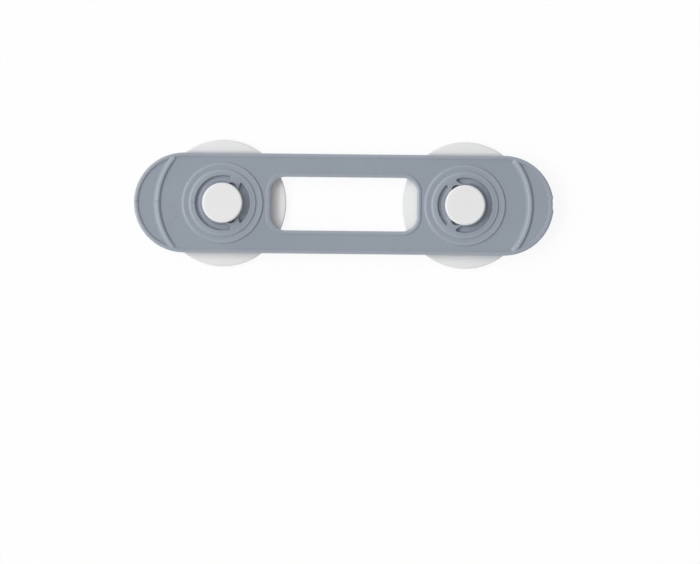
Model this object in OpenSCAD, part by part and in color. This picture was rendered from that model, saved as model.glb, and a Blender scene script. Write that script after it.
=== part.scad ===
// Cabinet safety lock: a soft strap that snaps over two studs, each on a round adhesive base.
// +X runs along the strap, +Z points away from the surface it is stuck to.
// The origin is on that surface, under the middle of the strap.

/* [Strap] */
// Length of the strap, tip to tip
strap_l = 168; // [160:1:190]
// Width of the strap
strap_w = 40; // [38:0.5:46]
// Thickness of the plate between the raised edges
plate_t = 2.2; // [1.8:0.1:3]
// Height of the raised edges over the plate
rim_h = 0.35; // [0.2:0.05:0.8]
// Width of the raised edge round the outline
rim_w = 1.7; // [1:0.1:2.4]

/* [Window] */
// Length of the window between the two arms
window_l = 58.6; // [52:0.1:60]
// Width of the window
window_w = 21.4; // [14:0.1:22]
// Corner radius of the window
window_r = 6; // [2:0.5:7]
// Width of the raised edge round the window
window_rim_w = 1.7; // [1:0.1:2.4]

/* [Bosses] */
// Distance between the two stud axes
stud_pitch = 97; // [96:0.5:100]
// Radius of the lower step
lower_step_r = 16; // [15:0.1:16.4]
// Height of the lower step over the plate
lower_step_h = 0.55; // [0.3:0.05:0.8]
// Fall of the lower step towards the upper one
lower_step_fall = 0.15; // [0:0.05:0.25]
// Radius of the upper step
upper_step_r = 13.2; // [12.6:0.1:14]
// Height of the upper step over the plate, at the flexible centre
upper_step_h = 1.1; // [0.9:0.05:1.6]
// Fall of the upper step from the flexible centre to its own edge
upper_step_fall = 0.3; // [0:0.05:0.4]
// Radius of the flexible centre
centre_r = 10.8; // [10.6:0.1:11.6]

/* [Grip ridges] */
// Distance from the stud axis to the middle of the ridge
ridge_at = 26.1; // [24:0.1:28]
// Radius of the ridge's own bow
ridge_r = 28.6; // [27:0.2:32]
// Width of the ridge at its foot
ridge_w = 2.6; // [2:0.1:3.4]
// Height of the ridge over the plate
ridge_h = 1; // [0.8:0.1:1.3]
// How far each end of the ridge runs into the raised edge
ridge_into_rim = 0.6; // [0.2:0.1:0.9]

/* [Snap collars] */
// Thickness of the thin web that closes the grooves
web_t = 0.8; // [0.5:0.1:1.1]
// Radius of the round side of the hole
hole_r = 7.7; // [7:0.1:7.9]
// Outer radius of the collar between the hole and the groove
collar_r = 8.7; // [8.5:0.1:9.4]
// Angle from the window side to the groove's end, at its outer wall
groove_outer_end = 69; // [66:1:78]
// Angle from the window side to the groove's end, at its inner wall
groove_inner_end = 82; // [80:1:95]
// Distance from the stud axis to the crescent's nearest point
crescent_at = 5.75; // [5.4:0.05:6]
// Radius of the crescent's inner wall
crescent_r = 25; // [20:0.5:30]
// Thickness of the spring bar between the crescent and the hole
bar_t = 1.25; // [0.9:0.05:1.6]
// Radius of the round corners of the hole
corner_r = 2.2; // [1.6:0.1:2.2]
// Distance of those corners' centres from the stud axis
corner_at = 6.7; // [6.4:0.1:6.8]
// Angle from the window side to those corners
corner_angle = 60; // [58:0.5:62]

/* [Stud bases] */
// Radius of the base disc
disc_r = 25; // [23:0.5:28]
// Thickness of the disc at its middle
disc_t = 2.2; // [1.8:0.1:3.2]
// Thickness of the disc at its edge
disc_edge_t = 1; // [0.9:0.1:1.6]
// Rounding of the disc's upper edge
disc_edge_r = 0.8; // [0.3:0.1:0.8]
// Height of the hub over the disc
hub_h = 1.2; // [0.8:0.1:1.4]
// Radius of the stud's head
head_r = 8.04; // [7.9:0.02:8.4]
// Thickness of the stud's head
head_t = 2.4; // [1.8:0.1:3.2]
// Rounding of the head's upper edge
head_edge_r = 0.5; // [0.2:0.1:0.8]
// Rounding of the head's lower edge
head_lip_r = 0.3; // [0.1:0.1:0.5]

/* [Adhesive] */
// Radius of the foam pad
pad_r = 23.5; // [20:0.5:24]
// Thickness of the foam pad
pad_t = 1; // [0.6:0.1:2]
// How far the release liner stands past the pad
liner_over = 0.7; // [0.2:0.1:1]
// Thickness of the release liner
liner_t = 0.15; // [0.1:0.05:0.3]

/* [Clearances] */
// Gap between the strap and the crown of the disc
strap_gap = 0.3; // [0.1:0.1:0.6]
// Gap round the hub, in the strap's underside
hub_side_gap = 0.4; // [0.3:0.1:0.8]
// Gap between the hub and the web above it
hub_top_gap = 0.2; // [0.1:0.1:0.4]
// Gap between the neck and the spring bar
neck_gap = 0.1; // [0.05:0.05:0.3]
// Gap between the collar and the head above it
head_gap = 0.15; // [0.1:0.05:0.4]

/* [Flexing] */
// Distance from the middle of the strap to the line where an end bends up
flex_at = 20; // [14:1:23]

/* [Hidden] */
$fn = 96;

// Heights over the surface, from the bottom up
pad_z = liner_t;
disc_z = pad_z + pad_t;
hub_top = disc_z + disc_t + hub_h;
strap_z = disc_z + disc_t + strap_gap;
plate_top = strap_z + plate_t;
boss_top = plate_top + upper_step_h;
web_z = hub_top + hub_top_gap;
head_z = boss_top + head_gap;

// Sizes that follow from the others
stud_x = stud_pitch / 2;
end_r = strap_w / 2;
hub_r = centre_r - hub_side_gap;
bar_r = crescent_r + bar_t;
neck_r = crescent_at - bar_t - neck_gap;
ridge_end_y = end_r - rim_w + ridge_into_rim;
ridge_sweep = 2 * asin(ridge_end_y / (ridge_r + ridge_w / 2));
crown_rise = disc_t - disc_edge_t;
crown_r = (pow(disc_r - disc_edge_r, 2) + crown_rise * crown_rise) / (2 * crown_rise);
big = 3 * strap_l;
cut = 1;

grey = [0.58, 0.61, 0.65];
grey_dark = [0.52, 0.55, 0.59];
white = [0.9, 0.9, 0.89];
foam = [0.97, 0.96, 0.92];
paper = [0.93, 0.87, 0.72];

function polar(r, a) = [r * cos(a), r * sin(a)];

// Straight-sided strip with full round ends, centred
module strip(l, w) {
    square([l - w, w], center = true);
    for (s = [-1, 1]) translate([s * (l - w) / 2, 0]) circle(d = w);
}

// Rectangle with round corners, centred
module round_rect(l, w, r) {
    square([l - 2 * r, w], center = true);
    square([l, w - 2 * r], center = true);
    for (x = [-1, 1], y = [-1, 1]) translate([x * (l / 2 - r), y * (w / 2 - r)]) circle(r);
}

module plate_2d() {
    difference() {
        strip(strap_l, strap_w);
        round_rect(window_l, window_w, window_r);
    }
}

module rims_2d() {
    difference() {
        strip(strap_l, strap_w);
        strip(strap_l - 2 * rim_w, strap_w - 2 * rim_w);
    }
    difference() {
        round_rect(window_l + 2 * window_rim_w, window_w + 2 * window_rim_w, window_r + window_rim_w);
        round_rect(window_l, window_w, window_r);
    }
}

// The part of the strap's plate and raised edges between two distances along +X
module strap_zone(x0, x1) {
    translate([0, 0, strap_z]) linear_extrude(plate_t) intersection() {
        plate_2d();
        translate([x0, -big / 2]) square([x1 - x0, big]);
    }
    translate([0, 0, strap_z]) linear_extrude(plate_t + rim_h) intersection() {
        rims_2d();
        translate([x0, -big / 2]) square([x1 - x0, big]);
    }
}

// Rounded rib round the outer side of a boss, which the fingertip catches
module grip_ridge() {
    rib_r = (ridge_h * ridge_h + ridge_w * ridge_w / 4) / (2 * ridge_h);
    root_z = plate_top - plate_t / 2;
    bow_at = ridge_at - ridge_r;
    intersection() {
        translate([bow_at, 0, 0]) rotate([0, 0, -ridge_sweep / 2]) rotate_extrude(angle = ridge_sweep)
            intersection() {
                translate([ridge_r, plate_top + ridge_h - rib_r]) circle(rib_r);
                translate([ridge_r - ridge_w, root_z]) square([2 * ridge_w, plate_t + ridge_h]);
            }
        translate([-stud_x, 0, strap_z]) linear_extrude(plate_t + 2 * ridge_h)
            strip(strap_l - 2 * (rim_w - ridge_into_rim), strap_w - 2 * (rim_w - ridge_into_rim));
    }
}

// Two raised steps round a stud, each with a gently coned top
module boss_steps() {
    rotate_extrude() polygon([
        [0, strap_z],
        [lower_step_r, strap_z],
        [lower_step_r, plate_top + lower_step_h],
        [upper_step_r, plate_top + lower_step_h - lower_step_fall],
        [upper_step_r, boss_top - upper_step_fall],
        [centre_r, boss_top],
        [0, boss_top]
    ]);
}

// End of the strap on the +X side: pull tab, grip ridge, stepped boss and the roots of the arms
module strap_end() {
    difference() {
        union() {
            strap_zone(flex_at, strap_l / 2 + cut);
            translate([stud_x, 0, 0]) boss_steps();
            translate([stud_x, 0, 0]) grip_ridge();
        }
        translate([stud_x, 0, strap_z - cut]) cylinder(r = centre_r, h = plate_t + upper_step_h + 2 * cut);
    }
}

// D-shaped hole: round on the tab side, closed on the window side by the bowed spring bar
module hole_2d() {
    difference() {
        union() {
            circle(hole_r);
            for (s = [-1, 1]) translate(polar(corner_at, s * corner_angle)) circle(corner_r);
        }
        translate([crescent_at + crescent_r, 0]) circle(bar_r);
    }
}

module crescent_2d() {
    intersection() {
        circle(centre_r);
        translate([crescent_at + crescent_r, 0]) circle(crescent_r);
    }
}

// C-shaped groove that frees the collar on the tab side
module groove_2d() {
    outer = polar(centre_r, groove_outer_end);
    inner = polar(collar_r, groove_inner_end);
    slope = (outer - inner) / norm(outer - inner);
    past_outer = outer + centre_r * slope;
    past_inner = inner - collar_r * slope;
    difference() {
        circle(centre_r);
        circle(collar_r);
        polygon([
            past_inner, past_outer,
            [past_outer[0], -past_outer[1]], [past_inner[0], -past_inner[1]]
        ]);
    }
}

// Flexible centre of a boss with the window side towards +X: web, collar, spokes and spring bar
module snap_collar() {
    translate([0, 0, web_z]) linear_extrude(web_t) difference() {
        circle(centre_r);
        hole_2d();
    }
    translate([0, 0, web_z]) linear_extrude(boss_top - web_z) difference() {
        circle(centre_r);
        groove_2d();
        crescent_2d();
        hole_2d();
    }
}

// One moulding: domed disc, hub, neck and mushroom head
module stud_base() {
    rotate_extrude() {
        intersection() {
            union() {
                square([disc_r, disc_edge_t - disc_edge_r]);
                square([disc_r - disc_edge_r, disc_t]);
                intersection() {
                    translate([disc_r - disc_edge_r, disc_edge_t - disc_edge_r]) circle(disc_edge_r);
                    square([disc_r, disc_t]);
                }
            }
            translate([0, disc_t - crown_r]) circle(crown_r, $fn = 720);
        }
        square([hub_r, disc_t + hub_h]);
        square([neck_r, head_z - disc_z + head_t / 2]);
        translate([0, head_z - disc_z]) {
            square([head_r - head_edge_r, head_t]);
            translate([0, head_lip_r]) square([head_r, head_t - head_edge_r - head_lip_r]);
            translate([head_r - head_edge_r, head_t - head_edge_r]) circle(head_edge_r);
            translate([head_r - head_lip_r, head_lip_r]) circle(head_lip_r);
        }
    }
}

module at_stud(side) {
    translate([side * stud_x, 0, 0]) children();
}

module strap_end_left() {
    color(grey) mirror([1, 0, 0]) strap_end();
}

module strap_end_right() {
    color(grey) strap_end();
}

module strap_arms_left() {
    color(grey) strap_zone(-flex_at, 0);
}

module strap_arms_right() {
    color(grey) strap_zone(0, flex_at);
}

module snap_collar_left() {
    color(grey_dark) at_stud(-1) snap_collar();
}

module snap_collar_right() {
    color(grey_dark) at_stud(1) mirror([1, 0, 0]) snap_collar();
}

module stud_base_left() {
    color(white) at_stud(-1) translate([0, 0, disc_z]) stud_base();
}

module stud_base_right() {
    color(white) at_stud(1) translate([0, 0, disc_z]) stud_base();
}

module foam_pad_left() {
    color(foam) at_stud(-1) translate([0, 0, pad_z]) cylinder(r = pad_r, h = pad_t);
}

module foam_pad_right() {
    color(foam) at_stud(1) translate([0, 0, pad_z]) cylinder(r = pad_r, h = pad_t);
}

module release_liner_left() {
    color(paper) at_stud(-1) cylinder(r = pad_r + liner_over, h = liner_t);
}

module release_liner_right() {
    color(paper) at_stud(1) cylinder(r = pad_r + liner_over, h = liner_t);
}

strap_end_left();
strap_end_right();
strap_arms_left();
strap_arms_right();
snap_collar_left();
snap_collar_right();
stud_base_left();
stud_base_right();
foam_pad_left();
foam_pad_right();
release_liner_left();
release_liner_right();
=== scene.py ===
import math

import bmesh
import bpy
import numpy as np
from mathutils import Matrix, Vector, geometry, noise


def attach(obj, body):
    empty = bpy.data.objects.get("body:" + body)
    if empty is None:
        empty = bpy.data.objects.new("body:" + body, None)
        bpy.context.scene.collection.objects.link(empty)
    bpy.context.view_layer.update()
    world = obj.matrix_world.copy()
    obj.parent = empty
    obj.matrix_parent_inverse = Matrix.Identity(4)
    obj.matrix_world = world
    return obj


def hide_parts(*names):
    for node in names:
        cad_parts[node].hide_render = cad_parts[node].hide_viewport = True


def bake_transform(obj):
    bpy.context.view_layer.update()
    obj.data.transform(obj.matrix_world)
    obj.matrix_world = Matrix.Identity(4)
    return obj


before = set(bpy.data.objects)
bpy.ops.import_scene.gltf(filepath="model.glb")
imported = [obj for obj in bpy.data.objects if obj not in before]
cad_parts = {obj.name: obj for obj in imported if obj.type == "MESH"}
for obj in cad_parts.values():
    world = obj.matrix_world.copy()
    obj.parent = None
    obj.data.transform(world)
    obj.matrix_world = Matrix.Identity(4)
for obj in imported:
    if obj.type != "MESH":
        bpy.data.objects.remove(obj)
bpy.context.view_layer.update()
mm = 0.001
print("frame loaded")

view = {
    "distance": 1300.0,     # mm above the strap
    "frameWidth": 280.0,    # mm across the picture
    "centre": (2.8, -31.15),
    "turn": 0.59,           # degrees, the lock lies a little clockwise
    "sensor": 36.0,
}


def makeCamera(v):
    data = bpy.data.cameras.new("camera")
    data.sensor_width = v["sensor"]
    data.lens = v["sensor"] * v["distance"] / v["frameWidth"]
    data.clip_start, data.clip_end = 0.05, 20.0
    camera = bpy.data.objects.new("camera", data)
    bpy.context.scene.collection.objects.link(camera)
    camera.location = (v["centre"][0] * mm, v["centre"][1] * mm, (v["distance"] + 6) * mm)
    camera.rotation_euler = (0, 0, math.radians(v["turn"]))
    bpy.context.scene.camera = camera


makeCamera(view)

# sizes in mm, and heights over the plate unless a note says otherwise
strap = {
    "tip": 84.0,
    "halfWidth": 20.0,
    "under": 3.65,
    "plateTop": 5.85,
    "rimWidth": 1.7,
    "rimHeight": 0.35,
    # share of that height at each distance from the middle: lower on the arms, higher on the tabs
    "outlineShare": [(0, 0.6), (55, 0.6), (72, 1.25)],
    "windowShare": [(0, 0.6), (22, 0.6), (28, 0.9)],
    "windowHalf": (29.3, 10.7),
    "windowCorner": 6.0,
    "studX": 48.5,
    "seamX": 14.0,          # where the end pieces meet the middle piece
    "bendX": 7.0,           # the arms bend between here and the same place on the other side
    "peelX": 27.0,          # an end's own bend runs from the seam to here
    "edgeRound": 0.7,
    "underRound": 0.3,
    "draft": 0.06,          # how far the faces lean in from the mould line
    "mouldLineZ": 4.9,
    # how much of that lean is left at each height off the mould line
    "mouldLine": [(0.5, 0.09), (0.4, 0.03), (0, 0), (0.4, -0.03), (0.5, -0.09)],
    "wallLean": 44.0,       # degrees
    "topRound": 0.2,
    "footRound": 0.2,
    "pastFoot": 0.3,        # flat strip of mesh beyond the foot of a wall
}
boss = {
    "lowerRadius": 16.1,
    "lowerHeight": 0.6,
    "lowerFall": 0.14,
    "upperRadius": 13.3,
    "upperHeight": 1.1,
    "upperFall": 0.14,
    "centreRadius": 11.0,
    "stepLean": 43.0,       # degrees
    "stepTopRound": 0.55,
    "stepFootRound": 0.3,
    "segments": 144,
}
ridge = {
    "at": 26.1,             # middle of the ridge from the stud axis
    "radius": 28.6,         # of its own bow, flatter than a ring round the stud
    "height": 0.92,
    "halfSweep": 38.0,      # degrees
    # share of the height at each distance off the long axis
    "taper": [(15.2, 1.0), (16.6, 0.86), (18.9, 0.4)],
    "flankAt": 0.93,        # middle of each flank from the ridge's middle line
    "lean": 43.0,
    "topRound": 0.7,
    "footRound": 0.35,
    "meetSpread": 0.3,      # the soft fillet where the ridge runs into the raised edge
    "meetHeight": 0.075,
    "meetStart": 0.25,
}
ridge["bowAt"] = strap["studX"] + ridge["at"] - ridge["radius"]
collar = {
    "webTop": -0.5,         # over the plate, at the foot of the outer wall
    "webRise": 0.4,         # how far its top climbs towards the stud
    "webUnder": 1.1,        # over the strap's underside
    "grooveInner": 8.3,
    "outerEnd": 67.0,
    "innerEnd": 82.0,
    "grooveRound": 0.6,
    "flankAt": 8.9,         # middle of the collar's own wall, which leans out
    "flankLean": 38.0,
    "flankStart": 76.0,     # degrees, clear of the hole
    "flankTopRound": 0.2,
    "flankFootRound": 0.7,
    # degrees, and how far the wall draws back near the groove's ends
    "flankEnds": [(84, 0.75), (100, 0.2), (112, 0)],
    "crescentAt": 5.75,
    "crescentRadius": 25.0,
    "crescentRound": 0.42,
    "pocketWallAt": 0.22,   # middle of the groove's and crescent's walls, in from their outlines
    "pocketLean": 14.0,
    "pocketTopRound": 0.25,
    "grooveFootRound": 0.42,
    "crescentFootRound": 0.4,
    "recessRound": 0.2,     # of the shallow recess under the collar
    "recessLean": 3.0,
    "barThickness": 1.25,
    "holeRadius": 7.7,
    "lobeAt": 6.7,
    "lobeRadius": 2.2,
    "lobeAngle": 60.0,
    "holeEdge": 0.2,
}
gate = {
    "middle": 0.7,
    "halfLength": 2.6,
    "depth": 0.38,
    "endRun": 0.3,          # share of the half length in which the nick's depth comes
    "lip": 0.12,
    "lipAt": 1.08,
    "lipSpread": 0.14,
    "reach": 1.5,
}


def arcPoints(cx, cy, radius, start, stop, count):
    angles = np.radians(np.linspace(start, stop, count + 1))
    return np.column_stack([cx + radius * np.cos(angles), cy + radius * np.sin(angles)])


def wallPoints(high, low, topRound, footRound, lean, steps=3):
    # section of a step from its upper edge to its foot, both rounded
    a = math.radians(lean)
    turn = math.pi / 2 - a
    points = []
    for i in range(steps + 1):
        t = turn * i / steps
        points.append((topRound * math.sin(t), high - topRound * (1 - math.cos(t))))
    straight = high - low - (topRound + footRound) * (1 - math.cos(turn))
    x = points[-1][0] + straight * math.tan(a)
    for i in range(steps + 1):
        t = turn * (1 - i / steps)
        points.append((x + footRound * (math.sin(turn) - math.sin(t)), low + footRound * (1 - math.cos(t))))
    return points


def wallAt(middle, outward, high, low, topRound, footRound, lean, steps=3):
    points = wallPoints(high, low, topRound, footRound, lean, steps)
    run = points[-1][0]
    return sorted((middle + outward * (x - run / 2), z) for x, z in points)


def roundedEdge(inset, radius, top, steps=4):
    points = []
    for i in range(steps + 1):
        t = math.pi / 2 * i / steps
        points.append((inset + radius * (1 - math.cos(t)), top - radius * (1 - math.sin(t))))
    return points


s, b, c = strap, boss, collar
rimProfile = roundedEdge(s["draft"], s["edgeRound"], s["rimHeight"]) + wallAt(
    s["rimWidth"], 1, s["rimHeight"], 0, s["topRound"], s["footRound"], s["wallLean"])
underProfile = [(d, s["rimHeight"] - z)
                for d, z in roundedEdge(s["draft"], s["underRound"], s["rimHeight"])]
stepShape = b["stepTopRound"], b["stepFootRound"], b["stepLean"]
upperStep = wallAt(b["upperRadius"], 1, b["upperHeight"] - b["upperFall"],
                   b["lowerHeight"] - b["lowerFall"], *stepShape)
lowerStep = wallAt(b["lowerRadius"], 1, b["lowerHeight"], 0, *stepShape)
bossProfile = [(b["centreRadius"] + 0.35, b["upperHeight"])] + upperStep + lowerStep
ridgeProfile = [(0, ridge["height"] + 0.02)] + wallAt(
    ridge["flankAt"], 1, ridge["height"], 0, ridge["topRound"], ridge["footRound"], ridge["lean"], 5)
flankProfile = wallAt(c["flankAt"], 1, b["upperHeight"], c["webTop"],
                      c["flankTopRound"], c["flankFootRound"], c["flankLean"], 4)
grooveProfile, crescentProfile = (
    wallAt(c["pocketWallAt"], 1, b["upperHeight"], c["webTop"],
           c["pocketTopRound"], footRound, c["pocketLean"])
    for footRound in (c["grooveFootRound"], c["crescentFootRound"]))
holeProfile = roundedEdge(0, c["holeEdge"], b["upperHeight"], 3)
recessProfile = sorted((r, c["webUnder"] + z) for r, z in
                       wallAt(b["centreRadius"], 1, 0, -c["webUnder"], c["recessRound"], c["recessRound"],
                              c["recessLean"]))


def level(distance, profile):
    return np.interp(distance, [p[0] for p in profile], [p[1] for p in profile])


# distances in the strap's plan
def outlineDepth(p):
    x = np.abs(p[:, 0])
    inner = s["tip"] - s["halfWidth"]
    return s["halfWidth"] - np.where(x <= inner, np.abs(p[:, 1]), np.hypot(x - inner, p[:, 1]))


def windowDistance(p):
    qx = np.abs(p[:, 0]) - (s["windowHalf"][0] - s["windowCorner"])
    qy = np.abs(p[:, 1]) - (s["windowHalf"][1] - s["windowCorner"])
    outside = np.hypot(np.maximum(qx, 0), np.maximum(qy, 0))
    return outside + np.minimum(np.maximum(qx, qy), 0) - s["windowCorner"]


def ridgeDistance(p):
    x, y = p[:, 0] - ridge["bowAt"], np.abs(p[:, 1])
    sweep = math.radians(ridge["halfSweep"])
    end = (ridge["radius"] * math.cos(sweep), ridge["radius"] * math.sin(sweep))
    along = np.abs(np.hypot(x, y) - ridge["radius"])
    return np.where(np.arctan2(y, x) <= sweep, along, np.hypot(x - end[0], y - end[1]))


def insideRing(p, ring):
    inside = np.zeros(len(p), bool)
    for a, e in zip(ring, np.roll(ring, -1, axis=0)):
        if a[1] == e[1]:
            continue
        crosses = (a[1] > p[:, 1]) != (e[1] > p[:, 1])
        inside ^= crosses & (p[:, 0] < a[0] + (p[:, 1] - a[1]) * (e[0] - a[0]) / (e[1] - a[1]))
    return inside


def ringDistance(p, ring):
    # distance to a closed line, negative inside it
    best = np.full(len(p), 1e9)
    for a, e in zip(ring, np.roll(ring, -1, axis=0)):
        step = e - a
        t = np.clip(((p - a) @ step) / max(step @ step, 1e-12), 0, 1)
        best = np.minimum(best, np.hypot(*(p - a - t[:, None] * step).T))
    return np.where(insideRing(p, ring), -best, best)


def offsetOut(ring, distance):
    # ring moved outward, with its corners turned in small steps
    if distance < 1e-9:
        return ring
    ring = ring if signedArea(ring) > 0 else ring[::-1]
    points = []
    for a, m, e in zip(np.roll(ring, 1, axis=0), ring, np.roll(ring, -1, axis=0)):
        first, second = m - a, e - m
        start = math.atan2(-first[0], first[1])
        turn = math.atan2(first[0] * second[1] - first[1] * second[0], first @ second)
        steps = max(1, math.ceil(turn / math.radians(15)))
        for k in range(steps + 1) if steps > 1 else [0.5]:
            angle = start + turn * k / steps
            points.append(m + distance * np.array([math.cos(angle), math.sin(angle)]))
    return np.array(points)


def signedArea(ring):
    x, y = ring[:, 0], ring[:, 1]
    return 0.5 * float(np.sum(x * np.roll(y, -1) - np.roll(x, -1) * y))


# lines in the strap's plan
def outlineLine(depth):
    inner = s["tip"] - s["halfWidth"]
    radius = s["halfWidth"] - depth
    straight = np.linspace(s["seamX"], inner, 51)
    # every degree at the tip, where the gate scar is, and wider steps beside it
    turns = [np.linspace(-90, -12, 32), np.linspace(-11, 11, 23), np.linspace(12, 90, 32)]
    angles = np.radians(np.concatenate(turns))
    tab = np.column_stack([inner + radius * np.cos(angles), radius * np.sin(angles)])
    lower = np.column_stack([straight[:-1], np.full(len(straight) - 1, -radius)])
    return np.vstack([lower, tab, lower[::-1] * (1, -1)])


def windowLine(distance):
    cx, cy = (h - s["windowCorner"] for h in s["windowHalf"])
    radius = s["windowCorner"] + distance
    straight = np.linspace(s["seamX"], cx, 10)[:-1]
    lower = np.column_stack([straight, np.full(len(straight), -cy - radius)])
    corner = arcPoints(cx, -cy, radius, -90, 0, 14)
    side = np.column_stack([np.full(9, cx + radius), np.linspace(-cy, cy, 11)[1:-1]])
    upper = arcPoints(cx, cy, radius, 0, 90, 14)
    return np.vstack([lower, corner, side, upper, lower[::-1] * (1, -1)])


def circleLine(radius):
    return arcPoints(s["studX"], 0, radius, 0, 360, b["segments"])[:-1]


def ridgeLine(distance):
    cx, sweep = ridge["bowAt"], ridge["halfSweep"]
    a = math.radians(sweep)
    endX, endY = cx + ridge["radius"] * math.cos(a), ridge["radius"] * math.sin(a)
    outer = arcPoints(cx, 0, ridge["radius"] + distance, -sweep, sweep, 60)
    inner = arcPoints(cx, 0, ridge["radius"] - distance, sweep, -sweep, 60)
    if distance < 1e-9:
        return outer
    upper = arcPoints(endX, endY, distance, sweep, sweep + 180, 10)[1:-1]
    lower = arcPoints(endX, -endY, distance, -sweep + 180, -sweep + 360, 10)[1:-1]
    return np.vstack([outer, upper, inner, lower])


def fromWindowSide(points):
    # the collar is drawn with the window towards +x, then turned to face it
    return np.column_stack([s["studX"] - points[:, 0], points[:, 1]])


def meetCircle(point, direction, centre, radius):
    # where a line meets a circle, nearest to the point
    rel = np.array(point) - centre
    half = rel @ direction
    root = math.sqrt(half * half - rel @ rel + radius * radius)
    t = min((-half - root, -half + root), key=abs)
    return np.array(point) + t * direction


def grooveLine(inset):
    a1, a2 = math.radians(c["outerEnd"]), math.radians(c["innerEnd"])
    outer = b["centreRadius"] * np.array([math.cos(a1), math.sin(a1)])
    inner = c["grooveInner"] * np.array([math.cos(a2), math.sin(a2)])
    along = (outer - inner) / np.hypot(*(outer - inner))
    shift = inset * np.array([-along[1], along[0]])
    zero = np.zeros(2)
    big, small = b["centreRadius"] - inset, c["grooveInner"] + inset
    p1 = meetCircle(outer + shift, along, zero, big)
    p2 = meetCircle(inner + shift, along, zero, small)
    t1, t2 = (math.degrees(math.atan2(p[1], p[0])) for p in (p1, p2))
    return fromWindowSide(np.vstack([
        arcPoints(0, 0, big, t1, 360 - t1, 110),
        arcPoints(0, 0, small, 360 - t2, t2, 96),
    ]))


def crescentLine(inset):
    # lens between the boss centre's circle and the spring bar's circle
    big, bow = b["centreRadius"] - inset, c["crescentRadius"] - inset
    away = c["crescentAt"] + c["crescentRadius"]
    x = (big * big - bow * bow + away * away) / (2 * away)
    y = math.sqrt(big * big - x * x)
    t, u = math.degrees(math.atan2(y, x)), math.degrees(math.atan2(y, away - x))
    return fromWindowSide(np.vstack([
        arcPoints(0, 0, big, -t, t, 44)[:-1],
        arcPoints(away, 0, bow, 180 - u, 180 + u, 40)[:-1],
    ]))


def holeLine():
    degrees = np.arange(0, 360, 0.5)
    angles = np.radians(degrees)
    off = np.abs((degrees + 180) % 360 - 180) - c["lobeAngle"]
    lobe = np.zeros(len(angles))
    reach = c["lobeAt"] * np.sin(np.radians(off))
    hits = np.abs(reach) < c["lobeRadius"]
    lobe[hits] = (c["lobeAt"] * np.cos(np.radians(off[hits]))
                  + np.sqrt(c["lobeRadius"] ** 2 - reach[hits] ** 2))
    radius = np.maximum(c["holeRadius"], lobe)
    away, bow = c["crescentAt"] + c["crescentRadius"], c["crescentRadius"] + c["barThickness"]
    side = away * np.sin(angles)
    faces = (np.abs(side) < bow) & (np.cos(angles) > 0)
    bar = away * np.cos(angles[faces]) - np.sqrt(bow ** 2 - side[faces] ** 2)
    radius[faces] = np.minimum(radius[faces], bar)
    weights = np.exp(-(np.arange(-8, 9) / 3.5) ** 2)
    soft = sum(w * np.roll(radius, k) for k, w in zip(range(-8, 9), weights)) / weights.sum()
    ring = np.column_stack([soft * np.cos(angles), soft * np.sin(angles)])
    return fromWindowSide(ring[::3])


grooveCore = grooveLine(c["grooveRound"])
crescentCore = crescentLine(c["crescentRound"])
holeRing = holeLine()


def rimLevel(distance, share):
    # the raised edge's own height takes its share, the rounding of the outer corner stays
    full = s["rimHeight"]
    z = level(distance, rimProfile)
    return np.where(distance < s["draft"] + s["edgeRound"], z - full * (1 - share), z * share)


def topLevel(p):
    x = np.abs(p[:, 0])
    rim = rimLevel(outlineDepth(p), level(x, s["outlineShare"]))
    window = rimLevel(windowDistance(p), level(x, s["windowShare"]))
    rib = level(ridgeDistance(p), ridgeProfile) * level(np.abs(p[:, 1]), ridge["taper"])
    radius = np.hypot(p[:, 0] - s["studX"], p[:, 1])
    z = np.maximum(np.maximum(rim, window), level(radius, bossProfile))
    close = np.clip(1 - np.abs(rim - rib) / ridge["meetSpread"], 0, 1)
    both = np.clip(np.minimum(rim, rib) / ridge["meetStart"], 0, 1)
    z = np.maximum(z, rib) + close ** 2 * ridge["meetHeight"] * both
    near = radius < b["centreRadius"] + 0.6
    q = p[near]
    rise = c["webRise"] * np.clip((b["centreRadius"] - 0.3 - radius[near]) / 2.4, 0, 1)

    def raised(cut):
        return cut + rise * (b["upperHeight"] - cut) / (b["upperHeight"] - c["webTop"])

    cut = raised(level(c["grooveRound"] - ringDistance(q, grooveCore), grooveProfile))
    turned = np.degrees(np.abs(np.arctan2(q[:, 1], s["studX"] - q[:, 0])))
    cut = np.maximum(cut, level(radius[near] + level(turned, c["flankEnds"]), flankProfile))
    crescent = level(c["crescentRound"] - ringDistance(q, crescentCore), crescentProfile)
    cut = np.minimum(cut, raised(crescent))
    cut = np.minimum(cut, level(ringDistance(q, holeRing), holeProfile))
    z[near] = np.minimum(z[near], cut)
    return s["plateTop"] + z


def underLevel(p):
    radius = np.hypot(p[:, 0] - s["studX"], p[:, 1])
    z = np.maximum(level(outlineDepth(p), underProfile), level(windowDistance(p), underProfile))
    return s["under"] + np.maximum(z, level(radius, recessProfile))


def makeSheet(lines, keep, height):
    # lines: (points, closed); returns vertices, faces and each line's vertex numbers
    points, edges, spans = [], [], []
    for line, closed in lines:
        first = len(points)
        points += [Vector(p) for p in line]
        edges += [(first + i, first + i + 1) for i in range(len(line) - 1)]
        if closed:
            edges.append((len(points) - 1, first))
        spans.append((first, len(points)))
    coords, _, faces, origins, _, _ = geometry.delaunay_2d_cdt(points, edges, [], 0, 1e-5)
    flat = np.array([tuple(v) for v in coords])
    place = {}
    for new, old in enumerate(origins):
        for o in old:
            place[o] = new
    middles = flat[np.array(faces)].mean(axis=1)
    faces = [f for f, k in zip(faces, keep(middles)) if k]
    numbers = [[place[i] for i in range(*span)] for span in spans]
    return np.column_stack([flat, height(flat)]), faces, numbers


def stations(profile, extra=()):
    return sorted({round(p[0], 4) for p in profile} | set(extra))


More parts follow.
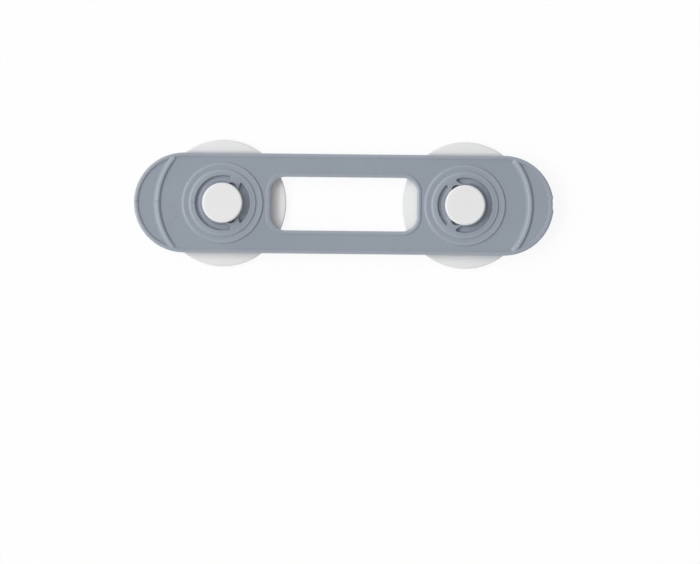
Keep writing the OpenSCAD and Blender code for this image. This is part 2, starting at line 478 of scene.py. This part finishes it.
def cutLines(core, cornerRound, profile, inner):
    lines = []
    for depth in stations(profile, (profile[0][0] - 0.1,)):
        lines.append((inner(depth) if depth >= cornerRound else offsetOut(core, cornerRound - depth), True))
    return lines


def smoothPiece(name, bm, sharpAt=None):
    # mesh from millimetres to metres, smooth, with sharp edges round the faces that sharpAt picks
    bmesh.ops.recalc_face_normals(bm, faces=bm.faces)
    for face in bm.faces:
        face.smooth = True
    if sharpAt:
        for face in bm.faces:
            if sharpAt(face):
                for edge in face.edges:
                    edge.smooth = False
    bmesh.ops.scale(bm, vec=(mm, mm, mm), verts=bm.verts)
    mesh = bpy.data.meshes.new(name)
    bm.to_mesh(mesh)
    bm.free()
    piece = bpy.data.objects.new(name, mesh)
    bpy.context.scene.collection.objects.link(piece)
    return piece


def sideRings(line):
    # a side wall in plan and height, from the top sheet's edge to the under sheet's
    rings = []
    for share, rise in s["mouldLine"]:
        plan = line(s["draft"] * share)
        rings.append(np.column_stack([plan, np.full(len(plan), s["mouldLineZ"] + rise)]))
    return rings


def bridge(bm, first, second, closed):
    count = len(first)
    for i in range(count if closed else count - 1):
        j = (i + 1) % count
        bm.faces.new((first[i], first[j], second[j], second[i]))


def gateShift(co):
    # scar of the moulding gate on the right tip: a shallow nick with a small lip at each end
    g = gate
    inward = (s["tip"] - co.x) / g["reach"]
    if inward > 1:
        return 0.0
    off = abs(co.y - g["middle"]) / g["halfLength"]
    nick = min(max((1 - off) / g["endRun"], 0.0), 1.0)
    nick = nick * nick * (3 - 2 * nick)
    lip = math.exp(-((off - g["lipAt"]) / g["lipSpread"]) ** 2)
    return (g["lip"] * lip - g["depth"] * nick) * (1 - inward) ** 2


def strapEnd(name, side):
    # pull tab, ridge, boss, collar and the roots of the arms, on one side of the strap
    rims = stations(rimProfile, (rimProfile[-1][0] + s["pastFoot"],))
    rounds = stations(underProfile, (underProfile[-1][0] + s["pastFoot"],))
    edge = s["draft"]
    windowRing, outlineRing = windowLine(edge), outlineLine(edge)

    def keep(middles):
        return (insideRing(middles, outlineRing) & ~insideRing(middles, windowRing)
                & ~insideRing(middles, holeRing))

    lines = [(outlineLine(d), False) for d in rims] + [(windowLine(d), False) for d in rims]
    lines += [(holeRing, True)]
    lines += [(offsetOut(holeRing, d), True) for d, _ in holeProfile[1:]]
    # circles that keep the flats between the steps true
    supports = (b["upperRadius"] - 0.65, b["upperRadius"] + 0.65, b["lowerRadius"] - 0.75,
                bossProfile[-1][0] + s["pastFoot"])
    lines += [(circleLine(r), True) for r in stations(bossProfile, supports)]
    lines += [(ridgeLine(d), d > 0) for d in stations(ridgeProfile, (1.7,))]
    start = c["flankStart"]
    for r in stations(flankProfile):
        lines.append((fromWindowSide(arcPoints(0, 0, r, start, 360 - start, 84)), False))
    lines += cutLines(grooveCore, c["grooveRound"], grooveProfile, grooveLine)
    lines += cutLines(crescentCore, c["crescentRound"], crescentProfile, crescentLine)
    top, topFaces, topPlace = makeSheet(lines, keep, topLevel)

    lines = [(outlineLine(d), False) for d in rounds] + [(windowLine(d), False) for d in rounds]
    lines += [(holeRing, True)]
    past = recessProfile[-1][0] + s["pastFoot"]
    lines += [(circleLine(r), True) for r in stations(recessProfile, (past,))]
    under, underFaces, underPlace = makeSheet(lines, keep, underLevel)

    bm = bmesh.new()
    topVerts = [bm.verts.new(v) for v in top]
    underVerts = [bm.verts.new(v) for v in under]
    for face in topFaces:
        bm.faces.new([topVerts[i] for i in face])
    for face in underFaces:
        bm.faces.new([underVerts[i] for i in reversed(face)])
    ends = {}
    for key, line, topSpan, underSpan in (
            ("outline", outlineLine, topPlace[0], underPlace[0]),
            ("window", windowLine, topPlace[len(rims)], underPlace[len(rounds)])):
        rows = [[topVerts[i] for i in topSpan]]
        rows += [[bm.verts.new(v) for v in ring] for ring in sideRings(line)]
        rows += [[underVerts[i] for i in underSpan]]
        for first, second in zip(rows, rows[1:]):
            bridge(bm, first, second, False)
        ends[key] = rows
    holeTop, holeUnder = topPlace[2 * len(rims)], underPlace[2 * len(rounds)]
    bridge(bm, [topVerts[i] for i in holeTop], [underVerts[i] for i in holeUnder], True)

    seam = s["seamX"]
    for end, sign in ((0, -1), (-1, 1)):
        across = sorted((v for v in topVerts if abs(v.co.x - seam) < 1e-4 and v.co.y * sign > 0),
                        key=lambda v: v.co.y * sign)
        back = sorted((v for v in underVerts if abs(v.co.x - seam) < 1e-4 and v.co.y * sign > 0),
                      key=lambda v: -v.co.y * sign)
        outer = [row[end] for row in ends["outline"][1:-1]]
        inner = [row[end] for row in reversed(ends["window"][1:-1])]
        bm.faces.new(across + outer + back + inner)
    loose = [v for v in bm.verts if not v.link_faces]
    bmesh.ops.delete(bm, geom=loose, context="VERTS")
    for v in bm.verts:
        if side < 0:
            v.co.x = -v.co.x
        else:
            v.co.x += gateShift(v.co)
    return smoothPiece(name, bm, lambda f: all(abs(abs(v.co.x) - seam) < 1e-4 for v in f.verts))


def strapMiddle(name):
    # the two arms between the seams, one section drawn along x
    rims = stations(rimProfile, (rimProfile[-1][0] + s["pastFoot"],))
    rounds = stations(underProfile, (underProfile[-1][0] + s["pastFoot"],))
    window, outline = s["windowHalf"][1], s["halfWidth"]
    walls = [(ring[0, 1], ring[0, 2]) for ring in sideRings(outlineLine)]
    windowWalls = [(ring[0, 1], ring[0, 2]) for ring in sideRings(windowLine)]
    share = s["outlineShare"][0][1]
    section = [(window + d, s["plateTop"] + float(rimLevel(d, share))) for d in rims]
    section += [(outline - d, s["plateTop"] + float(rimLevel(d, share))) for d in reversed(rims)]
    section += [(abs(y), z) for y, z in walls]
    section += [(outline - d, s["under"] + level(d, underProfile)) for d in rounds]
    section += [(window + d, s["under"] + level(d, underProfile)) for d in reversed(rounds)]
    section += [(abs(y), z) for y, z in reversed(windowWalls)]
    straight = np.linspace(s["bendX"], s["seamX"], 8)
    stops = np.concatenate([-straight[::-1], np.linspace(-s["bendX"], s["bendX"], 37)[1:-1], straight])
    bm = bmesh.new()
    for sign in (1, -1):
        rows = [[bm.verts.new((x, sign * y, z)) for y, z in section] for x in stops]
        for first, second in zip(rows, rows[1:]):
            bridge(bm, first, second, True)
        bm.faces.new(rows[0])
        bm.faces.new(rows[-1])
    return smoothPiece(name, bm, lambda f: all(abs(abs(v.co.x) - s["seamX"]) < 1e-4 for v in f.verts))


leftEnd = strapEnd("strapLeftEnd", -1)
middle = strapMiddle("strapMiddle")
rightEnd = strapEnd("strapRightEnd", 1)
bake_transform(leftEnd)
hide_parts("strap_end_left", "snap_collar_left")
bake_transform(middle)
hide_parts("strap_arms_left", "strap_arms_right")
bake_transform(rightEnd)
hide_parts("strap_end_right", "snap_collar_right")


# painted light: how far and how strongly the strap's edges are painted paler for glow through them, and its
# crests for highlights
paintedEdgeLight = {
    "reach": 1.5,           # mm in from the strap's outline and window
    "stepHighlight": 0.6,       # how pale the steps' upper edges are painted, a painted highlight, next to the outline
    "ridgeHighlight": 0.65,
    "ridgeReach": 0.5,      # mm from the ridge's middle line to where the painted highlight on its crest starts to fade
    "crestSpread": 0.3,     # mm to each side
    "crestShift": 0.1,      # mm outward from where a step's edge starts to round
    "fall": 1.5,            # how fast the painted glow along the outline fades: 1 is evenly
}


def paintEdgeLight(piece, e):
    # painted light: paler colour at the thin outer edges stands in for light coming through the rubber, and
    # along the crests of the steps and ridge it is a painted highlight
    places = np.empty(len(piece.data.vertices) * 3)
    piece.data.vertices.foreach_get("co", places)
    places = places.reshape(-1, 3) / mm
    p = np.column_stack([np.abs(places[:, 0]), places[:, 1]])
    depth = np.clip(np.minimum(outlineDepth(p), windowDistance(p)) / e["reach"], 0, 1)
    radius = np.hypot(p[:, 0] - s["studX"], p[:, 1])
    upper, lower = (step[0][0] + e["crestShift"] for step in (upperStep, lowerStep))
    steps = np.minimum(np.abs(radius - upper), np.abs(radius - lower))
    crestHighlights = e["stepHighlight"] * np.exp(-(steps / e["crestSpread"]) ** 2)
    rib = np.maximum(ridgeDistance(p) - e["ridgeReach"], 0)
    crestHighlights = np.maximum(crestHighlights, e["ridgeHighlight"] * np.exp(-(rib / e["crestSpread"]) ** 2))
    share = np.maximum((1 - depth) ** e["fall"], crestHighlights * (places[:, 2] > s["mouldLineZ"]))
    piece.data.attributes.new("paintedLightShare", "FLOAT", "POINT").data.foreach_set("value", share)


strapPieces = (leftEnd, middle, rightEnd)
for piece in strapPieces:
    paintEdgeLight(piece, paintedEdgeLight)
print("strap made")

stud = {
    "under": 1.15,
    "discRadius": 25.4,
    "discEdge": 1.2,
    "discMiddle": 2.2,
    "discRound": 0.6,
    "hubRadius": 10.4,
    "hubTop": 4.55,
    "neckRadius": 4.4,
    "headUnder": 7.1,
    "headTop": 9.5,
    "headRadius": 8.04,
    "headRound": 0.7,
    "headLip": 0.3,
    "headCrown": 0.05,
    "discUnderRound": 0.12,
    "hubFootRound": 0.3,
    "hubRound": 0.2,
    "neckFootRound": 0.15,
    "neckTopRound": 0.25,
    "segments": 192,
}


def cornerPoints(cr, cz, radius, start, stop, count=5):
    return [tuple(p) for p in arcPoints(cr, cz, radius, start, stop, count)]


def studSection(t):
    z0, flatR = t["under"], t["discRadius"] - t["discRound"]
    rise = t["discMiddle"] - t["discEdge"]
    crown = (flatR ** 2 + rise ** 2) / (2 * rise)

    def discTop(r):
        return z0 + t["discMiddle"] - crown + math.sqrt(crown * crown - r * r)

    points = [(0, z0), (12, z0), (t["discRadius"] - 0.4, z0)]
    small = t["discUnderRound"]
    points += cornerPoints(t["discRadius"] - small, z0 + small, small, -90, 0, 3)
    points += cornerPoints(flatR, z0 + t["discEdge"] - t["discRound"], t["discRound"], 4, 84, 7)
    points += [(r, discTop(r)) for r in (flatR - 0.1, 23.2, 22, 20, 18, 16, 14, 12, 11.2)]
    small = t["hubFootRound"]
    foot = t["hubRadius"] + small
    points += cornerPoints(foot, discTop(foot) + small, small, -90, -176, 4)
    small = t["hubRound"]
    points += cornerPoints(t["hubRadius"] - small, t["hubTop"] - small, small, 0, 90, 4)
    points += [(t["hubRadius"] - 0.6, t["hubTop"]), (t["neckRadius"] + 0.6, t["hubTop"])]
    small = t["neckFootRound"]
    points += cornerPoints(t["neckRadius"] + small, t["hubTop"] + small, small, -90, -180, 3)
    small = t["neckTopRound"]
    points += cornerPoints(t["neckRadius"] + small, t["headUnder"] - small, small, 180, 90, 3)
    points += [(t["neckRadius"] + 0.6, t["headUnder"])]
    lip = t["headLip"]
    points += cornerPoints(t["headRadius"] - lip, t["headUnder"] + lip, lip, -90, 0, 5)
    rim = t["headRadius"] - t["headRound"]
    edgeTop = t["headTop"] - t["headCrown"]
    points += cornerPoints(rim, edgeTop - t["headRound"], t["headRound"], 0, 88, 8)
    inward = (rim - 0.15, rim - 0.6, 6, 4.5, 3, 1.5)
    points += [(r, t["headTop"] - t["headCrown"] * (r / rim) ** 2) for r in inward]
    return points + [(0, t["headTop"])]


def lathe(name, points, centreX, segments, shape=None):
    # closed turned piece; shape may move each point by its angle
    bm = bmesh.new()
    turns = [2 * math.pi * k / segments for k in range(segments)]
    rings = []
    for i, (r, z) in enumerate(points):
        if r < 1e-9:
            rings.append([bm.verts.new((centreX, 0, z))])
            continue
        row = []
        for a in turns:
            rr, zz = shape(i, r, z, a) if shape else (r, z)
            row.append(bm.verts.new((centreX + rr * math.cos(a), rr * math.sin(a), zz)))
        rings.append(row)
    for first, second in zip(rings, rings[1:]):
        if len(first) == 1 or len(second) == 1:
            pole, ring = (first[0], second) if len(first) == 1 else (second[0], first)
            for k in range(segments):
                bm.faces.new((pole, ring[k], ring[(k + 1) % segments]))
        else:
            bridge(bm, first, second, True)
    return smoothPiece(name, bm)


studs = [lathe("stud" + word, studSection(stud), side * s["studX"], stud["segments"])
         for word, side in (("Left", -1), ("Right", 1))]
print("studs made")

foam = {
    "radius": 23.5,
    "bottom": 0.15,
    "top": 1.15,
    "cell": 0.55,           # mm, size of the cut cells
    "ragged": 0.09,         # mm, how deep they bite into the cut edge
    "segments": 360,
}


def foamShape(t, seed):
    def shape(i, r, z, a):
        if r < t["radius"] - 1:
            return r, z
        spot = Vector((r * math.cos(a), r * math.sin(a), z + seed)) / t["cell"]
        bite = t["ragged"] * max(0.0, 0.4 + noise.noise(spot) * 1.3)
        return r - bite, z
    return shape


foamPads = []
for word, side in (("Left", -1), ("Right", 1)):
    low, high, radius = foam["bottom"], foam["top"], foam["radius"]
    section = [(0, low), (10, low), (radius - 0.6, low), (radius - 0.12, low)]
    section += [(radius, low + 0.08 + (high - low - 0.16) * k / 6) for k in range(7)]
    section += [(radius - 0.12, high), (radius - 0.6, high), (10, high), (0, high)]
    pad = lathe("foamPad" + word, section, side * s["studX"], foam["segments"], foamShape(foam, 7.0 + side))
    foamPads.append(pad)

liner = {
    "radius": 24.2,
    "thickness": 0.15,
    "segments": 192,
}
liners = []
for word, side in (("Left", -1), ("Right", 1)):
    r, t = liner["radius"], liner["thickness"]
    section = [(0, 0), (12, 0), (r - 0.3, 0), (r - 0.03, 0.01), (r, 0.04)]
    section += [(r, t - 0.04), (r - 0.03, t - 0.01), (r - 0.3, t), (12, t), (0, t)]
    liners.append(lathe("liner" + word, section, side * s["studX"], liner["segments"]))

for k, word in enumerate(("left", "right")):
    for piece, node, slotName, body in (
            (studs[k], "stud_base_", "stud", "_stud"),
            (foamPads[k], "foam_pad_", "foam", "_stud"),
            (liners[k], "release_liner_", "liner", "_liner")):
        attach(piece, word + body)
        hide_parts(node + word)
print("bases made")


# shader groups, each built once and placed in the materials with its own values
def startGroup(name, inputs, outputs):
    group = bpy.data.node_groups.new(name, "ShaderNodeTree")
    for label, kind, value in inputs:
        socket = group.interface.new_socket(name=label, in_out="INPUT", socket_type=kind)
        socket.default_value = value
    for label, kind in outputs:
        group.interface.new_socket(name=label, in_out="OUTPUT", socket_type=kind)
    return group, group.nodes.new("NodeGroupInput"), group.nodes.new("NodeGroupOutput")


def mathNode(tree, operation, first, second=None, clamp=False):
    node = tree.nodes.new("ShaderNodeMath")
    node.operation, node.use_clamp = operation, clamp
    for k, value in enumerate((first, second)):
        if isinstance(value, (int, float)):
            node.inputs[k].default_value = value
        elif value is not None:
            tree.links.new(value, node.inputs[k])
    return node.outputs[0]


def noiseNode(tree, vector, scale, detail=2.0, roughness=0.5):
    node = tree.nodes.new("ShaderNodeTexNoise")
    tree.links.new(vector, node.inputs["Vector"])
    for label, value in (("Scale", scale), ("Detail", detail), ("Roughness", roughness)):
        if isinstance(value, (int, float)):
            node.inputs[label].default_value = value
        else:
            tree.links.new(value, node.inputs[label])
    return node.outputs["Fac"]


def rangeNode(tree, value, low, high, newLow, newHigh):
    node = tree.nodes.new("ShaderNodeMapRange")
    tree.links.new(value, node.inputs["Value"])
    for label, number in (("From Min", low), ("From Max", high), ("To Min", newLow), ("To Max", newHigh)):
        if isinstance(number, (int, float)):
            node.inputs[label].default_value = number
        else:
            tree.links.new(number, node.inputs[label])
    return node.outputs["Result"]


def objectPlace(tree):
    return tree.nodes.new("ShaderNodeTexCoord").outputs["Object"]


def mouldGrain():
    # the fine matt skin that a mould leaves, and a slow drift of its tone
    tree, given, out = startGroup(
        "mouldGrain",
        [("Grain Size", "NodeSocketFloat", 3000.0), ("Drift Size", "NodeSocketFloat", 45.0)],
        [("Height", "NodeSocketFloat"), ("Drift", "NodeSocketFloat"), ("Speckle", "NodeSocketFloat")])
    place = objectPlace(tree)
    grain = noiseNode(tree, place, given.outputs["Grain Size"], 3.0, 0.6)
    drift = noiseNode(tree, place, given.outputs["Drift Size"], 3.0, 0.55)
    coarse = noiseNode(tree, place, mathNode(tree, "MULTIPLY", given.outputs["Grain Size"], 0.12), 2.0)
    height = mathNode(tree, "ADD", grain, mathNode(tree, "MULTIPLY", coarse, 1.5))
    tree.links.new(height, out.inputs["Height"])
    tree.links.new(drift, out.inputs["Drift"])
    tree.links.new(grain, out.inputs["Speckle"])
    return tree


def knitLine():
    # the hairline where two fronts of melt met: a thin straight line across a part
    tree, given, out = startGroup(
        "knitLine",
        [("Point", "NodeSocketVector", (0, 0, 0)), ("Angle", "NodeSocketFloat", 0.0),
         ("Half Length", "NodeSocketFloat", 0.002), ("Half Width", "NodeSocketFloat", 0.0001)],
        [("Mask", "NodeSocketFloat")])
    turn = tree.nodes.new("ShaderNodeVectorRotate")
    turn.rotation_type = "Z_AXIS"
    tree.links.new(objectPlace(tree), turn.inputs["Vector"])
    tree.links.new(given.outputs["Point"], turn.inputs["Center"])
    tree.links.new(given.outputs["Angle"], turn.inputs["Angle"])
    rel = tree.nodes.new("ShaderNodeVectorMath")
    rel.operation = "SUBTRACT"
    tree.links.new(turn.outputs[0], rel.inputs[0])
    tree.links.new(given.outputs["Point"], rel.inputs[1])
    split = tree.nodes.new("ShaderNodeSeparateXYZ")
    tree.links.new(rel.outputs[0], split.inputs[0])
    wander = noiseNode(tree, objectPlace(tree), 900.0, 2.0)
    wander = mathNode(tree, "MULTIPLY", mathNode(tree, "SUBTRACT", wander, 0.5), 0.0002)
    off = mathNode(tree, "ABSOLUTE", mathNode(tree, "ADD", split.outputs["Y"], wander))
    across = mathNode(tree, "DIVIDE", off, given.outputs["Half Width"])
    across = mathNode(tree, "SUBTRACT", 1.0, across, clamp=True)
    along = mathNode(tree, "ABSOLUTE", split.outputs["X"])
    along = mathNode(tree, "DIVIDE", along, given.outputs["Half Length"])
    fade = rangeNode(tree, along, 0.75, 1.0, 1.0, 0.0)
    tree.links.new(mathNode(tree, "MULTIPLY", across, fade, clamp=True), out.inputs["Mask"])
    return tree


def smudge():
    # a patch of faint rubbed dirt, broken up by noise and fading to its edge
    tree, given, out = startGroup(
        "smudge",
        [("Point", "NodeSocketVector", (0, 0, 0)), ("Reach", "NodeSocketFloat", 0.002)],
        [("Mask", "NodeSocketFloat")])
    away = tree.nodes.new("ShaderNodeVectorMath")
    away.operation = "DISTANCE"
    tree.links.new(objectPlace(tree), away.inputs[0])
    tree.links.new(given.outputs["Point"], away.inputs[1])
    share = mathNode(tree, "DIVIDE", away.outputs["Value"], given.outputs["Reach"])
    fade = rangeNode(tree, share, 0.2, 1.0, 1.0, 0.0)
    patches = rangeNode(tree, noiseNode(tree, objectPlace(tree), 900.0, 3.0, 0.6), 0.42, 0.62, 0.0, 1.0)
    tree.links.new(mathNode(tree, "MULTIPLY", patches, fade, clamp=True), out.inputs["Mask"])
    return tree


grainGroup = mouldGrain()
lineGroup = knitLine()
smudgeGroup = smudge()


def startMaterial(name, **sockets):
    material = bpy.data.materials.new(name)
    material.use_nodes = True
    shader = material.node_tree.nodes["Principled BSDF"]
    for label, value in sockets.items():
        shader.inputs[label.replace("_", " ")].default_value = value
    return material, material.node_tree, shader


def placeGroup(tree, group, **values):
    node = tree.nodes.new("ShaderNodeGroup")
    node.node_tree = group
    for label, value in values.items():
        node.inputs[label.replace("_", " ")].default_value = value
    return node


def mixColour(tree, factor, first, second):
    node = tree.nodes.new("ShaderNodeMix")
    node.data_type = "RGBA"
    tree.links.new(factor, node.inputs["Factor"])
    for k, value in ((6, first), (7, second)):
        if isinstance(value, tuple):
            node.inputs[k].default_value = (*value, 1.0)
        else:
            tree.links.new(value, node.inputs[k])
    return node.outputs[2]


def bumpNode(tree, height, distance, normal=None):
    node = tree.nodes.new("ShaderNodeBump")
    node.inputs["Strength"].default_value = 1.0
    node.inputs["Distance"].default_value = distance
    tree.links.new(height, node.inputs["Height"])
    if normal is not None:
        tree.links.new(normal, node.inputs["Normal"])
    return node.outputs["Normal"]


def largest(tree, values):
    total = values[0]
    for value in values[1:]:
        total = mathNode(tree, "MAXIMUM", total, value)
    return total


def knitLines(tree, lines):
    return largest(tree, [
        placeGroup(tree, lineGroup, Point=(x * mm, y * mm, 0), Angle=math.radians(-angle),
                   Half_Length=length * mm, Half_Width=width * mm).outputs["Mask"]
        for x, y, angle, length, width in lines])


def smudges(tree, spots):
    height = s["plateTop"] * mm
    return largest(tree, [
        placeGroup(tree, smudgeGroup, Point=(x * mm, y * mm, height), Reach=reach * mm).outputs["Mask"]
        for x, y, reach in spots])


def mouldedTone(tree, shader, look):
    # a colour that drifts between two tones, a gloss that drifts with it, and the skin's height
    grain = placeGroup(tree, grainGroup, Grain_Size=look["grainSize"], Drift_Size=look["driftSize"])
    tone = rangeNode(tree, grain.outputs["Drift"], 0.35, 0.65, 0.0, 1.0)
    colour = mixColour(tree, tone, look["colour"], look["paler"])
    middle, drift = look["roughness"], look["roughnessDrift"]
    gloss = rangeNode(tree, grain.outputs["Drift"], 0.3, 0.7, middle - drift, middle + drift)
    tree.links.new(gloss, shader.inputs["Roughness"])
    return colour, grain.outputs["Height"]


def mouldedNormal(tree, shader, look, height, lines):
    normal = bumpNode(tree, height, look["grainDepth"])
    normal = bumpNode(tree, mathNode(tree, "MULTIPLY", lines, -1.0), look["lineDepth"], normal)
    tree.links.new(normal, shader.inputs["Normal"])


rubber = {
    "colour": (0.256, 0.289, 0.341),
    "paler": (0.270, 0.304, 0.355),
    "lineColour": (0.16, 0.185, 0.215),
    "roughness": 0.33,
    "roughnessDrift": 0.05,
    "grainSize": 2600.0,
    "driftSize": 38.0,
    "grainDepth": 0.000012,     # m
    "lineDepth": 0.00008,
    # x, y, angle, half length, half width of each hairline, in mm and degrees
    "knitLines": [(-82.5, 0.38, 0, 1.4, 0.2), (-74.2, 0.36, 0, 1.8, 0.16), (-60.2, 0.05, 0, 1.0, 0.24),
                  (12.9, 14.1, 90, 1.6, 0.14)],
    "lineStrength": 0.85,
    # painted highlight and painted glow: the colour that the strap's edges and crests are painted towards
    "highlightPaintColour": (0.40, 0.44, 0.495),
    "highlightPaintStrength": 0.75,
    # x, y and reach of each rubbed spot, in mm
    "smudges": [(-68.4, -1.8, 2.2), (-67.2, -5.2, 2.6), (-69.0, -8.0, 2.0)],
    "smudgeColour": (0.262, 0.272, 0.286),
}
rubberMaterial, tree, shader = startMaterial("strapRubber", Roughness=rubber["roughness"])
colour, skin = mouldedTone(tree, shader, rubber)
# painted light: mixes the paler colour in where the painted-light share is high
edge = tree.nodes.new("ShaderNodeAttribute")
edge.attribute_name = "paintedLightShare"
paintedLightShare = mathNode(tree, "MULTIPLY", edge.outputs["Fac"], rubber["highlightPaintStrength"])
colour = mixColour(tree, paintedLightShare, colour, rubber["highlightPaintColour"])
lines = knitLines(tree, rubber["knitLines"])
colour = mixColour(tree, smudges(tree, rubber["smudges"]), colour, rubber["smudgeColour"])
lineShare = mathNode(tree, "MULTIPLY", lines, rubber["lineStrength"])
colour = mixColour(tree, lineShare, colour, rubber["lineColour"])
tree.links.new(colour, shader.inputs["Base Color"])
mouldedNormal(tree, shader, rubber, skin, lines)

whitePlastic = {
    "colour": (0.765, 0.765, 0.768),
    "paler": (0.78, 0.78, 0.778),
    "roughness": 0.5,
    "roughnessDrift": 0.04,
    "grainSize": 1800.0,
    "driftSize": 60.0,
    "grainDepth": 0.000006,
    "lineDepth": 0.00002,
    "knitLines": [(-48.5, 0, 45, 7.4, 0.1), (48.5, 0, 9.5, 7.4, 0.1)],
}
whiteMaterial, tree, shader = startMaterial("whitePlastic", Roughness=whitePlastic["roughness"])
colour, skin = mouldedTone(tree, shader, whitePlastic)
tree.links.new(colour, shader.inputs["Base Color"])
mouldedNormal(tree, shader, whitePlastic, skin, knitLines(tree, whitePlastic["knitLines"]))

foamLook = {
    "colour": (0.86, 0.84, 0.78),
    "pitShadeColour": (0.62, 0.6, 0.54),
    "roughness": 0.9,
    "cells": 1800.0,
    "cellDepth": 0.00012,
}
foamMaterial, tree, shader = startMaterial("padFoam", Roughness=foamLook["roughness"])
cells = tree.nodes.new("ShaderNodeTexVoronoi")
cells.inputs["Scale"].default_value = foamLook["cells"]
tree.links.new(objectPlace(tree), cells.inputs["Vector"])
walls = rangeNode(tree, cells.outputs["Distance"], 0.1, 0.6, 0.0, 1.0)
# painted shade: the cells' pits, low in the bump, are painted darker
colour = mixColour(tree, walls, foamLook["pitShadeColour"], foamLook["colour"])
tree.links.new(colour, shader.inputs["Base Color"])
tree.links.new(bumpNode(tree, walls, foamLook["cellDepth"]), shader.inputs["Normal"])

paperLook = {
    "colour": (0.70, 0.595, 0.385),
    "fibreColour": (0.75, 0.66, 0.47),
    "roughness": 0.42,
    "shiniest": 0.36,
    "dullest": 0.5,
    "fibres": 700.0,
    "fibreStretch": (1.0, 6.0, 1.0),
    "fibreDepth": 0.00002,
}
paperMaterial, tree, shader = startMaterial("linerPaper", Roughness=paperLook["roughness"])
stretch = tree.nodes.new("ShaderNodeMapping")
stretch.inputs["Scale"].default_value = paperLook["fibreStretch"]
tree.links.new(objectPlace(tree), stretch.inputs["Vector"])
fibres = noiseNode(tree, stretch.outputs[0], paperLook["fibres"], 5.0, 0.65)
tone = rangeNode(tree, fibres, 0.35, 0.65, 0.0, 1.0)
colour = mixColour(tree, tone, paperLook["colour"], paperLook["fibreColour"])
tree.links.new(colour, shader.inputs["Base Color"])
gloss = rangeNode(tree, fibres, 0.3, 0.7, paperLook["shiniest"], paperLook["dullest"])
tree.links.new(gloss, shader.inputs["Roughness"])
tree.links.new(bumpNode(tree, fibres, paperLook["fibreDepth"]), shader.inputs["Normal"])

for pieces, material in ((strapPieces, rubberMaterial), (studs, whiteMaterial),
                         (foamPads, foamMaterial), (liners, paperMaterial)):
    for piece in pieces:
        piece.data.materials.append(material)
print("materials made")

stage = {
    "floorHalf": 4.0,       # m
    "floorColour": (0.93, 0.93, 0.93),
    "floorGlow": 0.9,       # share of plain white that the camera sees in the floor
    "keyPlace": (-2.22, 0.89, 2.53),
    "keySize": (3.0, 1.9),
    "keyWatts": 56.0,
    "edgePlace": (-2.49, -0.67, 2.33),
    "edgeSize": (0.6, 0.5),
    "edgeWatts": 28.0,      # a smaller box on the key's near side, for the bright lines along the edges
    "fill": 0.53,
    "fillLean": 0.48,       # how much more of the fill comes from the left than from the right
}


def seenOnly(tree):
    # 1 for the rays that show the backdrop itself, in the picture, in gloss and through clear things
    path = tree.nodes.new("ShaderNodeLightPath")
    return largest(tree, [path.outputs[ray] for ray in
                          ("Is Camera Ray", "Is Glossy Ray", "Is Transmission Ray")])


def makeStage(t):
    bm = bmesh.new()
    half = t["floorHalf"]
    bmesh.ops.create_grid(bm, x_segments=8, y_segments=8, size=half)
    mesh = bpy.data.meshes.new("floor")
    bm.to_mesh(mesh)
    bm.free()
    floor = bpy.data.objects.new("floor", mesh)
    floor.location.z = -0.0001
    bpy.context.scene.collection.objects.link(floor)
    material, tree, shader = startMaterial("floorPaper", Roughness=0.9, Base_Color=(*t["floorColour"], 1.0))
    shader.inputs["Specular IOR Level"].default_value = 0.2
    glow = tree.nodes.new("ShaderNodeEmission")
    mix = tree.nodes.new("ShaderNodeMixShader")
    tree.links.new(mathNode(tree, "MULTIPLY", seenOnly(tree), t["floorGlow"]), mix.inputs[0])
    tree.links.new(shader.outputs[0], mix.inputs[1])
    tree.links.new(glow.outputs[0], mix.inputs[2])
    # seen from below, the paper isn't there
    oneSided = tree.nodes.new("ShaderNodeMixShader")
    tree.links.new(tree.nodes.new("ShaderNodeNewGeometry").outputs["Backfacing"], oneSided.inputs[0])
    tree.links.new(mix.outputs[0], oneSided.inputs[1])
    tree.links.new(tree.nodes.new("ShaderNodeBsdfTransparent").outputs[0], oneSided.inputs[2])
    tree.links.new(oneSided.outputs[0], tree.nodes["Material Output"].inputs["Surface"])
    mesh.materials.append(material)

    for name in ("key", "edge"):
        lamp = bpy.data.lights.new(name + "Softbox", "AREA")
        lamp.shape = "RECTANGLE"
        lamp.size, lamp.size_y = t[name + "Size"]
        lamp.energy = t[name + "Watts"]
        box = bpy.data.objects.new(name + "Softbox", lamp)
        box.location = t[name + "Place"]
        box.rotation_euler = (-Vector(t[name + "Place"])).to_track_quat("-Z", "Y").to_euler()
        bpy.context.scene.collection.objects.link(box)

    world = bpy.data.worlds.new("studio")
    world.use_nodes = True
    tree = world.node_tree
    background = tree.nodes["Background"]
    background.inputs["Color"].default_value = (1, 1, 1, 1)
    split = tree.nodes.new("ShaderNodeSeparateXYZ")
    tree.links.new(tree.nodes.new("ShaderNodeTexCoord").outputs["Generated"], split.inputs[0])
    lean = t["fillLean"]
    graded = rangeNode(tree, split.outputs["X"], -1.0, 1.0, t["fill"] * (1 + lean), t["fill"] * (1 - lean))
    tree.links.new(rangeNode(tree, seenOnly(tree), 0.0, 1.0, graded, 1.0), background.inputs["Strength"])
    bpy.context.scene.world = world


makeStage(stage)
bpy.context.scene.view_settings.view_transform = "Standard"
print("stage made")
